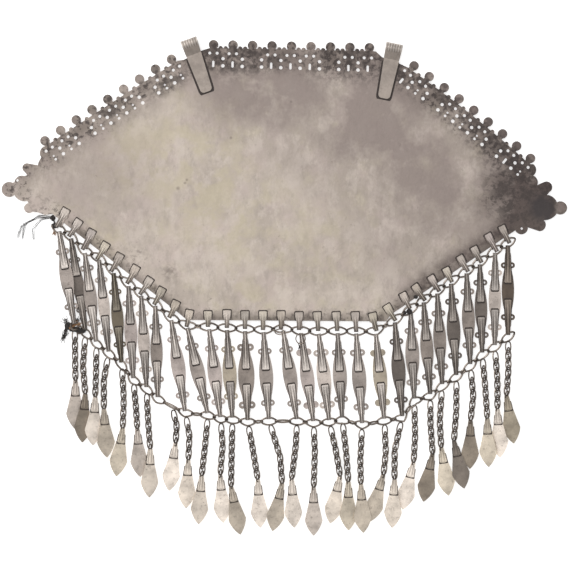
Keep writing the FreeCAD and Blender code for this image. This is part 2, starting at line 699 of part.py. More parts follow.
def bearing(ring, direction):
    """Angle of a direction about a ring's axis, from the eye that hangs in the ring."""
    across = ring["normal"].cross(ring["hang"])
    return math.atan2(direction.dot(across), direction.dot(ring["hang"])) % (2 * math.pi)


def crossing(ring, target):
    """Where a link crosses a ring's wire: towards the next ring, clear of the eyes in this one."""
    if "hang" not in ring:
        return ring["centre"] + (target - ring["centre"]).normalize() * size("ring_radius")
    hang = ring["hang"]
    across = ring["normal"].cross(hang)
    wanted = bearing(ring, target - ring["centre"])
    other = bearing(ring, ring["other"])
    near = math.radians(size("eye_share"))
    far = math.radians(ring["other_share"])
    low, high = (near, other - far) if wanted < other else (other + far, 2 * math.pi - near)
    angle = (low + high) / 2 if low > high else min(max(wanted, low), high)
    return ring["centre"] + (hang * math.cos(angle) + across * math.sin(angle)) * size("ring_radius")


bends = []
drops = rows(DROP_COLUMNS, DROPS)
fringe = rows(FRINGE_COLUMNS, FRINGE)
reach = size("ring_radius")

plate_sheet = make_plate_sheet()
holds = [hang_drop(row) for row in drops]
straps = [make_strap(number, hold) for number, hold in enumerate(holds, start=1)]
plate = doc.addObject("Part::MultiFuse", "plate")
plate.Label = "plate"
plate.Shapes = [plate_sheet] + straps
plate.Refine = True
hooks = [make_hook(label, row) for label, row in HOOKS]

# Each ring passes through a strap's eye and a plaque's eye, and lies in the plaque's plane.
plaques, upper_rings, lower_rings = [], [], []
for number, (row, hold) in enumerate(zip(drops, holds), start=1):
    foot, normal, centre = hold["foot"], hold["normal"], hold["centre"]
    hang = (foot - centre).normalize()
    top = centre + hang * hold["tab_reach"]
    plaques.append(make_plaque(number, row, lay(top, foot, row["roll"]), (foot - top).Length))
    low = foot + hang * size("tab_reach")
    share = size("eye_share")
    upper_rings.append({"centre": centre, "normal": normal, "hang": hang, "other": -hold["lean"],
                        "other_share": share})
    lower_rings.append({"centre": low, "normal": normal, "hang": -hang, "other": None, "other_share": 40.0})

extra_ring_centre = (lower_rings[EXTRA_RING_AFTER - 1]["centre"] + lower_rings[EXTRA_RING_AFTER]["centre"]) * 0.5

# The tubes of the fringe start below the lower rings and end at the pendants' eyes.
tubes, pendants = [], []
for number, (row, ring) in enumerate(zip(fringe, lower_rings), start=1):
    height = size("pendant_tab_height") / 2 + row["lift"]
    low, tip = place(row["low_x"], row["low_y"], height), place(row["tip_x"], row["tip_y"], height)
    eye = tip - (tip - low).normalize() * size("pendant_length")
    pendants.append(make_pendant(number, lay(eye, tip, row["roll"])))
    axis = size("fringe_axis_height")
    bend = place(row["bend_x"], row["bend_y"], axis)
    holder = extra_ring_centre if number == EXTRA_RING_AFTER else ring["centre"]
    start = V(holder.x, holder.y, axis)
    ring["other"] = V(0, -1, 0) if number == EXTRA_RING_AFTER else (bend - start).normalize()
    start += (bend - start).normalize() * (reach + size("ring_wire_radius") + size("fringe_start_gap"))
    end = V(eye.x, eye.y, axis)
    end += (bend - end).normalize() * size("clearance")
    route = swept(rounded_route([start, bend, end]), size("fringe_diameter") / 2)
    tubes.append(shape_object("fringe_chain_%02d" % number, route))


def make_chain(label, rings):
    """Rings joined by long links; an extra ring fills the one wide gap of the lower chain."""
    members = []
    for number, ring in enumerate(rings, start=1):
        members.append(make_ring("%s_ring_%02d" % (label, number), ring["centre"], ring["normal"]))
    for number in range(1, len(rings)):
        left, right = rings[number - 1], rings[number]
        chained = [left, right]
        if number == EXTRA_RING_AFTER and left in lower_rings:
            centre = extra_ring_centre
            members.append(make_ring(label + "_ring_extra", centre, V(0, 0, 1)))
            chained = [left, {"centre": centre}, right]
        for index in range(1, len(chained)):
            near = crossing(chained[index - 1], chained[index]["centre"])
            far = crossing(chained[index], chained[index - 1]["centre"])
            members.append(make_link("%s_link_%02d_%d" % (label, number, index), near, far))
    return grouped(label, members)


upper_chain = make_chain("upper_chain", upper_rings)
lower_chain = make_chain("lower_chain", lower_rings)
groups = []
for name, first, last in FRINGE_GROUPS:
    groups.append(grouped("fringe_" + name, tubes[first - 1:last]))
    groups.append(grouped("pendants_" + name, pendants[first - 1:last]))

# The tufts: a knot of thread with its loose locks grown into it.
tufts = []
for label, knot, locks in TUFTS:
    radius = size("thread_lock_radius")
    ball = Part.makeSphere(size("knot_radius"), place(knot[0], knot[1], size("knot_radius")))
    for points in locks:
        lifted = [place(x, y, radius + 0.3) for x, y in points]
        ball = ball.fuse(swept(rounded_route(lifted), radius))
    tufts.append(shape_object(label, ball.removeSplitter()))

doc.recompute()
nodes = [plate] + hooks + plaques + [upper_chain, lower_chain] + groups + tufts
for item in doc.Objects:
    if "Invalid" in item.State or "Error" in item.State:
        raise RuntimeError("failed: %s %s" % (item.Name, item.State))
for node in nodes:
    if node.Shape.isNull() or not node.Shape.isValid():
        raise RuntimeError("bad shape: %s" % node.Label)

os.makedirs("parts", exist_ok=True)
total = Part.makeCompound([node.Shape for node in nodes])
solids = 0
for node in nodes:
    node.Shape.exportStep("parts/%s.step" % node.Label)
    solids += len(node.Shape.Solids)
    if not node.Label.startswith("plaque"):
        print(node.Label, "solids", len(node.Shape.Solids), "volume", round(node.Shape.Volume, 1))
box = total.BoundBox
print("bends of the fringe tubes, smallest radius", round(min(bends), 2))
print("solids", solids, "volume", round(sum(node.Shape.Volume for node in nodes), 1))
print("box", [round(v, 3) for v in (box.XMin, box.XMax, box.YMin, box.YMax, box.ZMin, box.ZMax)])
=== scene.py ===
import bpy
import bmesh
import math
import random

import numpy as np
from mathutils import Matrix, Vector


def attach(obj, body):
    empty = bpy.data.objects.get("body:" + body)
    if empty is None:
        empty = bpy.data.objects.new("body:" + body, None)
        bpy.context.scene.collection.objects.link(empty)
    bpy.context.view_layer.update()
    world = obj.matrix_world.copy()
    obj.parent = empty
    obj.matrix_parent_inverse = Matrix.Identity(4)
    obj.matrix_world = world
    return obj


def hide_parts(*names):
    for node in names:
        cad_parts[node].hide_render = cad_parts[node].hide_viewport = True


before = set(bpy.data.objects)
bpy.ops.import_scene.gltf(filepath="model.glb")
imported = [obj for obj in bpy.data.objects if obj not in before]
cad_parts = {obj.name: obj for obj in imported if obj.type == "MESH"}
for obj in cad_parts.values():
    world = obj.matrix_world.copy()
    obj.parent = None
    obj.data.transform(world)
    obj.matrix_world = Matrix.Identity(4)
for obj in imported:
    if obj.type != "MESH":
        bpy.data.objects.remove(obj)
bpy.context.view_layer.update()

bpy.ops.object.select_all(action="DESELECT")

# The plate: one sheet of old silver, cut out with finials, pierced along its border and worn smooth.
# Its plain back is warm grey with olive and mauve stains, and black tarnish sits in the border, along
# the lower edges and over the right end; painted shade darkens the lower edges along the straps.
MM = 0.001
PIXEL = 0.53 * MM
MIDDLE = (284.35, 286.12)


def place(x, y, z=0.0):
    """A place charted on the photograph, at a height in millimetres."""
    return Vector(((x - MIDDLE[0]) * PIXEL, (MIDDLE[1] - y) * PIXEL, z * MM))


class Value:
    """A shader socket that takes part in Python arithmetic."""

    def __init__(self, finish, socket):
        self.finish, self.socket = finish, socket

    def make(self, operation, *values):
        return self.finish.node("ShaderNodeMath", {"operation": operation}, dict(enumerate(values)))

    def __add__(self, other):
        return self.make("ADD", self, other)

    def __sub__(self, other):
        return self.make("SUBTRACT", self, other)

    def __rsub__(self, other):
        return self.make("SUBTRACT", other, self)

    def __mul__(self, other):
        return self.make("MULTIPLY", self, other)

    def __pow__(self, other):
        return self.make("POWER", self, other)

    def at_most(self, other):
        return self.make("MINIMUM", self, other)

    def rise(self, low, high):
        """0 below low, 1 above high, soft between them."""
        return self.finish.node("ShaderNodeMapRange", {"interpolation_type": "SMOOTHSTEP"},
                                {0: self, 1: low, 2: high, 3: 0.0, 4: 1.0})

    __radd__ = __add__
    __rmul__ = __mul__


class Finish:
    """A procedural finish for one kind of surface."""

    def __init__(self, name):
        self.material = bpy.data.materials.new(name)
        self.material.use_nodes = True
        self.tree = self.material.node_tree
        self.tree.nodes.clear()
        self.shader = self.tree.nodes.new("ShaderNodeBsdfPrincipled")
        output = self.tree.nodes.new("ShaderNodeOutputMaterial")
        self.tree.links.new(self.shader.outputs[0], output.inputs[0])
        self.spot = self.node("ShaderNodeTexCoord", {}, {}, "Object")
        axes = self.node("ShaderNodeSeparateXYZ", {}, {0: self.spot}, None)
        self.x, self.y = Value(self, axes.outputs[0]), Value(self, axes.outputs[1])

    def node(self, kind, settings, values, out=0):
        """A node with its settings and its sockets' values or links; gives the value of one output."""
        made = self.tree.nodes.new(kind)
        for key, setting in settings.items():
            setattr(made, key, setting)
        for key, value in values.items():
            self.feed(made.inputs[key], value)
        return made if out is None else Value(self, made.outputs[out])

    def feed(self, socket, value):
        if isinstance(value, Value):
            self.tree.links.new(value.socket, socket)
        else:
            socket.default_value = value

    def noise(self, scale, detail, rough, stretch=(1, 1, 1), shift=0.0):
        spot = self.spot
        if stretch != (1, 1, 1) or shift:
            spot = self.node("ShaderNodeMapping", {}, {0: spot, 1: (shift, shift, 0), 3: stretch})
        return self.node("ShaderNodeTexNoise", {}, {"Vector": spot, "Scale": scale, "Detail": detail,
                                                    "Roughness": rough})

    def mix(self, share, first, second, blend="MIX"):
        """From the first colour to the second by a share; each is a value or three numbers."""
        first, second = [value if isinstance(value, Value) else (*value, 1.0) for value in (first, second)]
        return self.node("ShaderNodeMix", {"data_type": "RGBA", "blend_type": blend},
                         {0: share, 6: first, 7: second}, 2)

    def finish(self, colour, roughness, metallic, heights):
        """Feed the shader; heights are (height, distance in metres) pairs for the relief."""
        self.feed(self.shader.inputs["Base Color"], colour)
        self.feed(self.shader.inputs["Roughness"], roughness)
        self.feed(self.shader.inputs["Metallic"], metallic)
        relief = {}
        for height, distance in heights:
            values = {"Height": height, "Distance": distance, "Strength": 0.8, **relief}
            relief = {"Normal": self.node("ShaderNodeBump", {}, values)}
        if relief:
            self.feed(self.shader.inputs["Normal"], relief["Normal"])
        return self.material


def beside(finish, x, y, end_x, end_y):
    """Distance to the right of a line charted on the photograph, in millimetres."""
    start, end = place(x, y), place(end_x, end_y)
    along = (end - start).normalized()
    across = Vector((along.y, -along.x))
    return ((finish.x - start.x) * across.x + (finish.y - start.y) * across.y) * (1 / MM)


def stain(finish, x, y, radius, soft):
    """A soft round patch centred on a place of the photograph, sizes in millimetres."""
    spot = place(x, y)
    dx, dy = (finish.x - spot.x) * (1 / MM), (finish.y - spot.y) * (1 / MM)
    return 1 - ((dx * dx + dy * dy) ** 0.5).rise(radius - soft, radius + soft)


def stains(finish, rows):
    """Several soft patches together, each row with its strength last."""
    total = 0.0
    for x, y, radius, soft, strength in rows:
        total = stain(finish, x, y, radius, soft) * strength + total
    return total


# Lines along the plate's edges, with the silver to the right of each, charted on the photograph.
LEFT_EDGE, TOP_EDGE, RIGHT_EDGE = (45, 147, 176, 62), (205, 48, 372, 51), (408, 68, 530, 164)
LOW_LEFT_EDGE, LOW_RIGHT_EDGE, LOW_EDGE = (180, 314, 55, 216), (508, 235, 391, 314), (386, 321, 187, 320)
LEFT_TIP_LINE = (62, 150, 62, 100)
# Patches charted on the photograph: column, row, radius and softness in millimetres, strength.
OLIVE_STAINS = ((190, 150, 26, 22, 1.0), (225, 215, 24, 20, 1.0), (130, 165, 14, 12, 1.0),
                (310, 240, 26, 24, 0.6), (245, 300, 10, 9, 1.0), (108, 238, 9, 8, 1.0))
MAUVE_STAINS = ((330, 85, 44, 30, 1.0), (450, 180, 50, 36, 1.0), (235, 75, 26, 20, 1.0),
                (90, 180, 28, 24, 0.6))
SOOTY_PLACES = ((232, 55, 14, 12, 1.0), (350, 62, 22, 16, 1.0), (512, 190, 22, 16, 1.0))
CRUSTED_BORDER = ((168, 78, 11, 7, 1.0), (240, 56, 22, 10, 1.0), (108, 108, 7, 5, 1.0),
                  (352, 62, 12, 9, 1.0))
LOW_RIGHT_SHADOWS = ((475, 252, 40, 16, 0.9), (410, 296, 16, 12, 0.35))
NICKS = ((187, 180, 0.6, 0.6, 1.0), (185, 183, 0.6, 0.6, 1.0), (178, 188.5, 0.8, 0.8, 1.0),
         (231, 138, 0.6, 0.6, 1.0), (291, 102, 0.6, 0.6, 1.0))
RIGHT_END, RIGHT_CRUST, RIGHT_FRECKLES = (525, 190, 20, 17), (514, 198, 12, 6), (517, 196, 16, 11)
RIGHT_POINT, END_KNOB, END_KNOB_MIDDLE = (540, 212, 12, 9), (561, 207, 4.5, 2), (561, 207, 2.4, 1.2)
BLACK_TIP, BLACK_TIP_FOOT = (541, 207, 5.5, 4), (545, 212, 5, 4)
LEFT_BRUISE, LEFT_PITS = (170, 272, 4.0, 3.6), (136, 257, 5.0, 4.0)


def worn_back(silver, cloud, patch):
    """The plain back away from its edges: clouded warm grey, rubbed lighter, scuffed and stained."""
    colour = silver.mix(cloud.rise(0.38, 0.66), (0.42, 0.36, 0.31), (0.56, 0.485, 0.42))
    colour = silver.mix(patch.rise(0.5, 0.66) * 0.7, colour, (0.49, 0.43, 0.335))
    blush = silver.noise(55, 6, 0.65, shift=3.3)
    colour = silver.mix(blush.rise(0.46, 0.62) * 0.6, colour, (0.50, 0.415, 0.38))
    scuff = silver.noise(240, 7, 0.7, (1, 0.45, 1), 4.1)
    colour = silver.mix(scuff.rise(0.44, 0.7) * 0.55, colour, (0.33, 0.285, 0.25))
    rubbed = silver.noise(150, 7, 0.68, (1, 0.6, 1), 7.2)
    colour = silver.mix(rubbed.rise(0.47, 0.62) * 0.5, colour, (0.60, 0.525, 0.465))
    pits = silver.noise(330, 8, 0.75, shift=5.2)
    colour = silver.mix(pits.rise(0.6, 0.72) * 0.6, colour, (0.17, 0.14, 0.125))
    olive = stains(silver, OLIVE_STAINS) * patch.rise(0.4, 0.6)
    colour = silver.mix(olive.at_most(1) * 0.6, colour, (0.47, 0.41, 0.30))
    mauve = stains(silver, MAUVE_STAINS) * cloud.rise(0.3, 0.6)
    return silver.mix(mauve.at_most(1) * 0.85, colour, (0.245, 0.198, 0.18))


def plate_silver():
    silver = Finish("plate_silver")
    cloud = silver.noise(28, 5, 0.6)
    patch = silver.noise(75, 6, 0.62, shift=0.7)
    grain = silver.noise(900, 4, 0.6)
    speck = silver.noise(420, 7, 0.7, shift=0.3)
    streak = silver.noise(160, 5, 0.6, (1, 0.25, 1), 1.3)
    mottle = silver.noise(190, 6, 0.68, shift=6.4)
    # Depths into the plate in millimetres: from the finialled edges, and from the edges with straps.
    top, right = beside(silver, *TOP_EDGE), beside(silver, *RIGHT_EDGE)
    border = beside(silver, *LEFT_EDGE).at_most(top).at_most(right)
    low_right = beside(silver, *LOW_RIGHT_EDGE)
    low = beside(silver, *LOW_LEFT_EDGE).at_most(low_right).at_most(beside(silver, *LOW_EDGE))
    # Brown tarnish in the pierced border, and a nearly black right end; painted shadow runs on from it
    # behind the right straps.
    shade = (1 - border.rise(2, 19)) * (0.35 + patch.rise(0.35, 0.65) * 0.6)
    colour = silver.mix((shade * 0.8).at_most(1), worn_back(silver, cloud, patch), (0.175, 0.14, 0.125))
    # Painted shadow along the low right edge under the right straps, mottled.
    low_right_shadow = (1 - low_right.rise(3, 13)) * (0.45 + mottle.rise(0.35, 0.6) * 0.5)
    end = stain(silver, *RIGHT_END) * (0.55 + patch.rise(0.35, 0.6) * 0.45)
    end = end + stain(silver, *RIGHT_POINT) * (1 - stain(silver, *END_KNOB)) * 0.6
    # The painted shadow joins the right end's tarnish, and both take one dark colour.
    end = end + low_right_shadow * stains(silver, LOW_RIGHT_SHADOWS)
    colour = silver.mix(end.at_most(0.93), colour, (0.085, 0.062, 0.056))
    # Sooty specks, freckles and mottled crust.
    soot = (stains(silver, SOOTY_PLACES) + (1 - right.rise(3, 17)) * 0.7).at_most(1)
    soot = soot * (1 - border.rise(6, 24)) * speck.rise(0.42, 0.6)
    colour = silver.mix(soot * 0.85, colour, (0.055, 0.042, 0.04))
    freckle = (1 - border.rise(4, 15)) + (1 - low.rise(1, 9)) * 0.75 + stain(silver, *RIGHT_FRECKLES)
    freckle = freckle * speck.rise(0.50, 0.58) * (0.35 + patch.rise(0.42, 0.56) * 0.65)
    crust = stains(silver, CRUSTED_BORDER) + (1 - right.rise(1, 11)) * (1 - top.rise(60, 80))
    crust = crust * (1 - border.rise(9, 15)) + stain(silver, *RIGHT_CRUST) * 1.2
    freckle = freckle + crust * mottle.rise(0.42, 0.56) * 0.7
    colour = silver.mix(freckle.at_most(0.85), colour, (0.06, 0.047, 0.043))
    # A dark rim of painted shade along the straps, streaked, fading out towards the left tip.
    strap_edge_shade = (1 - low.rise(0.6, 6.0)) * beside(silver, *LEFT_TIP_LINE).rise(0, 6)
    strap_edge_shade = (strap_edge_shade * (0.5 + streak.rise(0.4, 0.65) * 0.45)).at_most(0.85) * (1 - end.at_most(1) * 0.7)
    colour = silver.mix(strap_edge_shade, colour, (0.115, 0.093, 0.078))
    # The black right tip, and the browner finials of the right edge with the knob beyond the tip.
    tip = stain(silver, *BLACK_TIP) + stain(silver, *BLACK_TIP_FOOT) * mottle.rise(0.3, 0.55)
    colour = silver.mix(tip.at_most(1) * 0.85, colour, (0.05, 0.042, 0.043))
    knob = (1 - right.rise(-3.4, -1.2)) * 0.32 + stain(silver, *END_KNOB_MIDDLE) * 0.75
    colour = silver.mix(knob.at_most(1), colour, (0.24, 0.19, 0.175))
    nick = stains(silver, NICKS) + stain(silver, *LEFT_BRUISE) * speck.rise(0.4, 0.6)
    nick = nick + stain(silver, *LEFT_PITS) * speck.rise(0.5, 0.58)
    colour = silver.mix((nick * 0.55).at_most(0.8), colour, (0.14, 0.11, 0.10))
    dent = silver.noise(210, 2, 0.5, shift=2.1).rise(0.66, 0.78)
    rough = 0.44 + grain * 0.12 + shade * 0.12 - patch * 0.06
    return silver.finish(colour, rough, 0.55, ((cloud, 0.0009), (dent, 0.00006), (speck, 0.00009),
                                              (grain, 0.00004)))


def dress(node, material):
    """Give a carried-over node its finish."""
    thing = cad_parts[node]
    thing.data.materials.clear()
    thing.data.materials.append(material)


dress("plate", plate_silver())


# The strap loops: a flared root soldered to the plate's back, and a ribbed neck curled round its ring.
# They are strips of sheet silver, and a line of painted shade lies round every root.
CREASE = math.radians(38)
DOUBLE = 0.001 * MM
PALE = (1, 1, 1)


def merged(node, mesh):
    """Put the points of a carried-over node into a mesh, with the ones that coincide made one."""
    mesh.from_mesh(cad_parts[node].data)
    bmesh.ops.remove_doubles(mesh, verts=mesh.verts, dist=DOUBLE)
    return mesh


class Shape:
    """A mesh grown from loops of points, each point with its own shade and tint."""

    def __init__(self, name, node=None):
        self.name = name
        self.mesh = bmesh.new()
        if node:
            merged(node, self.mesh)
        self.shade = self.mesh.verts.layers.float.new("shade")
        self.tint = self.mesh.verts.layers.float_vector.new("tint")

    def loop(self, points, shades=0.0, tint=PALE):
        """A loop of points; shades is one darkness for all of them, or one for each."""
        made = []
        for number, point in enumerate(points):
            vertex = self.mesh.verts.new(point)
            vertex[self.shade] = shades if isinstance(shades, float) else shades[number]
            vertex[self.tint] = Vector(tint)
            made.append(vertex)
        return made

    def band(self, first, second):
        """Faces from one loop to another."""
        for index in range(len(first)):
            after = (index + 1) % len(first)
            self.mesh.faces.new((first[index], first[after], second[after], second[index]))

    def skin(self, loops):
        """Faces along a row of loops, and a face at both ends."""
        for first, second in zip(loops, loops[1:]):
            self.band(first, second)
        self.mesh.faces.new(loops[0][::-1])
        self.mesh.faces.new(loops[-1])

    def close(self, loops):
        """Faces round a ring of loops, the last one turned to match the first."""
        for first, second in zip(loops, loops[1:]):
            self.band(first, second)
        first, last = loops[0], loops[-1]
        turn = min(range(len(first)), key=lambda step: (last[step].co - first[0].co).length)
        self.band(last[turn:] + last[:turn], first)

    def tube(self, path, radius, sides=6, closed=False, shades=0.0, tint=PALE):
        """A round wire along a path."""
        loops = []
        side = Vector((0.3, 0.2, 1.0))
        for number, spot in enumerate(path):
            before = path[number - 1] if closed or number else spot
            after = path[(number + 1) % len(path)] if closed or number + 1 < len(path) else spot
            along = (after - before).normalized()
            side = (side - along * side.dot(along)).normalized()
            across = along.cross(side)
            ring = [spot + (side * math.cos(turn) + across * math.sin(turn)) * radius
                    for turn in turns(sides)]
            loops.append(self.loop(ring, shades if isinstance(shades, float) else shades[number], tint))
        if closed:
            self.close(loops)
        else:
            self.skin(loops)

    def done(self, material, slot, *nodes):
        """Turn the mesh into a piece of the model that stands for the given nodes."""
        bmesh.ops.recalc_face_normals(self.mesh, faces=self.mesh.faces)
        for face in self.mesh.faces:
            face.smooth = True
        data = bpy.data.meshes.new(self.name)
        self.mesh.to_mesh(data)
        self.mesh.free()
        if "custom_normal" in data.attributes:
            data.attributes.remove(data.attributes["custom_normal"])
        piece = bpy.data.objects.new(self.name, data)
        bpy.context.scene.collection.objects.link(piece)
        data.materials.append(material)
        data.set_sharp_from_angle(angle=CREASE)
        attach(piece, "root")
        if nodes:
            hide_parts(*nodes)


def turns(count):
    """The angles of evenly spaced points round a circle."""
    return [math.tau * step / count for step in range(count)]


def laid(start, end):
    """A frame at start, x towards end and z up."""
    along = (end - start).normalized()
    across = Vector((0, 0, 1)).cross(along).normalized()
    stand = Matrix((along, across, along.cross(across))).transposed().to_4x4()
    stand.translation = start
    return stand


# Across a ribbed strip, as shares of its half width: place, rise of the rib, and darkness of the painted
# shade in its grooves and along its edges.
RIBBED = ((-1.0, -0.6, 0.9), (-0.9, 0.3, 0.35), (-0.76, 0.7, 0.0), (-0.62, 0.2, 0.5), (-0.47, 0.0, 1.0),
          (-0.32, 0.2, 0.7), (-0.2, 0.9, 0.0), (0.0, 1.0, 0.0), (0.2, 0.9, 0.0), (0.32, 0.2, 0.7),
          (0.47, 0.0, 1.0), (0.62, 0.2, 0.5), (0.76, 0.7, 0.0), (0.9, 0.3, 0.35), (1.0, -0.6, 0.9))


def ribbed_strip(shape, there, stations, top, base, rib, tint):
    """A strip along x; each station is x, half width, share of the ribs, rise of the whole and painted
    shade.
    """
    loops = []
    for x, half, ribs, rise, dark in stations:
        points = [there @ (Vector((x, share * half, top + rise + rib * height * ribs)) * MM)
                  for share, height, groove in RIBBED]
        shades = [min(1.0, groove * ribs + dark) for share, height, groove in RIBBED]
        points += [there @ (Vector((x, half, base)) * MM), there @ (Vector((x, -half, base)) * MM)]
        loops.append(shape.loop(points, shades + [1.0, 1.0], tint))
    shape.skin(loops)


# Along a painted shade line's patch, as shares: place, and how much of the rounding of its corners is left.
ROUNDED = ((0.0, 0.45), (0.04, 0.15), (0.1, 0.0), (0.9, 0.0), (0.96, 0.15), (1.0, 0.45))


def painted_shade_line(shape, there, start, end, half_start, half_end, low, high, corner, tint=PALE):
    """A thin flat dark patch under a strip, seen as a line of painted shade round it, in millimetres."""
    loops = []
    for share, rounding in ROUNDED:
        x = start + (end - start) * share
        half = half_start + (half_end - half_start) * share - corner * rounding
        section = ((-half, low), (half, low), (half, high), (-half, high))
        loops.append(shape.loop([there @ (Vector((x, y, z)) * MM) for y, z in section], 1.0, tint))
    shape.skin(loops)


def worked_silver(name, tone, dark=(0.045, 0.034, 0.03), metal=0.55, rough=0.42, tinted=True, marks=0.5):
    """Silver clouded and scratched; when tinted, its tint and painted shade come from the piece."""
    silver = Finish(name)
    cloud = silver.noise(130, 5, 0.6)
    speck = silver.noise(600, 5, 0.65, shift=0.4)
    grain = silver.noise(1800, 3, 0.6)
    colour = silver.mix(cloud.rise(0.35, 0.68), tuple(part * 0.72 for part in tone), tone)
    if tinted:
        tint = silver.node("ShaderNodeAttribute", {"attribute_name": "tint"}, {}, "Color")
        colour = silver.mix(1.0, colour, tint, "MULTIPLY")
        # The piece's painted shade darkens it towards the dark colour.
        shade = silver.node("ShaderNodeAttribute", {"attribute_name": "shade"}, {}, "Fac")
        colour = silver.mix((shade * (0.7 + speck * 0.5)).at_most(0.97), colour, dark)
    stained = (speck.rise(0.55, 0.7) * marks + (1 - cloud.rise(0.3, 0.45)) * 0.4 * marks).at_most(0.85)
    colour = silver.mix(stained, colour, tuple(part * 2.2 for part in dark))
    relief = ((cloud, 0.0003), (speck, 0.0001), (grain, 0.00003))
    return silver.finish(colour, rough + grain * 0.14, metal, relief)


# Each strap's root and eye, charted on the photograph from left to right.
STRAPS = (
    (67, 209, 57.3, 225.7), (80, 220, 70, 235), (93, 230, 83.5, 248), (107, 243, 98, 258),
    (121, 254, 112, 270), (137, 266, 128, 282), (151, 278, 141, 293), (163, 288, 155, 303),
    (177, 301, 170, 316), (190, 310, 187, 325), (208, 311, 208, 325), (227, 310, 227, 326),
    (245, 311, 245, 327), (263, 311, 263, 328), (281, 311, 281, 327), (299, 312, 299, 328),
    (317, 312, 318, 329), (336, 312, 337, 329), (355, 312, 356, 330), (372, 313, 376, 329),
    (386, 305, 394.5, 319), (402, 293, 409, 307), (414, 285, 424, 299), (430, 276, 438.3, 289.8),
    (445, 268, 451, 280.5), (459, 256, 467, 270), (473, 247, 480.5, 261), (487, 234, 496, 250),
    (501, 226, 508.5, 241.5),
)
# From the twenty-second on the straps are slimmer, and each neck runs on past the middle of its eye.
FIRST_SLIM_STRAP, SLIM = 22, 0.84
EYE_REACH = 1.05
# A strap's facing: its top, its base and the height of its ribs; its painted shade line: start, end, half
# width at both, lower and upper side, rounding of the corners. Then its stations as ribbed_strip takes
# them, for the leaf and the neck from the root, and for the curl from the far end. All in millimetres.
STRAP_FACING = (2.42, 2.1, 0.36)
STRAP_SHADE_LINE = (-0.55, 4.7, 2.55, 2.4, 1.78, 1.86, 1.5)
STRAP_LEAF = ((0.0, 1.5, 0.0, -0.12, 0.3), (0.12, 1.82, 0.0, 0.0, 0.05), (0.5, 2.02, 0.0, 0.06, 0.0),
              (2.6, 1.98, 0.1, 0.05, 0.0), (4.2, 1.62, 0.5, 0.04, 0.0))
STRAP_NECK = (5.4, 1.26, 0.9, 0.04, 0.0)
STRAP_CURL = ((-1.2, 1.18, 1.0, 0.04, 0.05), (-0.4, 1.16, 0.9, -0.2, 0.2), (0.0, 1.1, 0.4, -0.7, 0.6))
strap_tints = random.Random(5)
straps, strap_shade_lines = Shape("strap_facings"), Shape("strap_shade_lines")
for number, (root_x, root_y, eye_x, eye_y) in enumerate(STRAPS, start=1):
    slim = SLIM if number >= FIRST_SLIM_STRAP else 1.0
    root, eye = place(root_x, root_y), place(eye_x, eye_y)
    there = laid(root, eye)
    length = (eye - root).length / MM + EYE_REACH
    light = strap_tints.uniform(0.85, 1.08)
    tint = (light, light * strap_tints.uniform(0.97, 1.0), light * strap_tints.uniform(0.9, 1.0))
    stations = [(x, half * slim, *rest) for x, half, *rest in STRAP_LEAF] + [STRAP_NECK]
    stations += [(length + x, *rest) for x, *rest in STRAP_CURL]
    ribbed_strip(straps, there, stations, *STRAP_FACING, tint)
    # A line of painted shade round the root: a nearly black patch under the strap.
    painted_shade_line(strap_shade_lines, there, *STRAP_SHADE_LINE)
strap_silver = worked_silver("strap_silver", (0.58, 0.515, 0.465), rough=0.36, metal=0.45, marks=0.25)
straps.done(strap_silver, "plate_silver")
strap_shade_line = worked_silver("strap_shade_line", (0.05, 0.038, 0.033), metal=0.2, rough=0.6)
strap_shade_lines.done(strap_shade_line, "plate_silver")


# The large hooks: broad strips of silver curled over the plate's top edge round an open bore, ribbed along
# the curl. The leaf on the plate's back is plain, with a line of painted shade where it meets the plate.
# Rows: top and foot of each hook, charted on the photograph.
HOOKS = (("hook_left", 188.4, 39.4, 206.8, 91.0), ("hook_right", 394.6, 43.8, 383.2, 100.0))
CURL, CURL_DEPTH = 2.6, 0.27
CURL_START, CURL_STEPS = 200, 12
RIBS, RIB_WIRE = 7, 0.44 * MM
RIB_SPREAD, RIB_TAPER = 4.12, 0.045
RIB_TAIL = ((5.6, 2.5), (6.4, 2.36), (7.3, 2.2))
RIB_FADE = [0.0] * CURL_STEPS + [0.15, 0.3, 0.5, 0.7]
HOOK_SHADE_LINE = (9.4, 30.45, 4.95, 4.2, 1.78, 1.85, 1.5)
hook_ribs, hook_shade_lines = Shape("hook_ribs"), Shape("hook_shade_lines")
hook_silver = worked_silver("hook_silver", (0.40, 0.342, 0.30), tinted=False, marks=0.2)
side = []
for step in range(CURL_STEPS + 1):
    turn = math.radians(CURL_START - CURL_START * step / CURL_STEPS)
    side.append((CURL + (CURL - CURL_DEPTH) * math.cos(turn), CURL + (CURL - CURL_DEPTH) * math.sin(turn)))
side += RIB_TAIL
for name, top_x, top_y, foot_x, foot_y in HOOKS:
    dress(name, hook_silver)
    there = laid(place(top_x, top_y), place(foot_x, foot_y))
    for number in range(RIBS):
        share = number / ((RIBS - 1) / 2) - 1
        path = [there @ (Vector((x, share * (RIB_SPREAD - RIB_TAPER * x), z)) * MM) for x, z in side]
        hook_ribs.tube(path, RIB_WIRE, 8, shades=RIB_FADE)
    # A line of painted shade where the leaf meets the plate.
    painted_shade_line(hook_shade_lines, there, *HOOK_SHADE_LINE)
rib_silver = worked_silver("rib_silver", (0.62, 0.56, 0.51), rough=0.34, metal=0.5, marks=0.2)
hook_ribs.done(rib_silver, "hook_silver")
hook_shade_line = worked_silver("hook_shade_line", (0.06, 0.044, 0.038), metal=0.2, rough=0.6)
hook_shade_lines.done(hook_shade_line, "hook_silver")


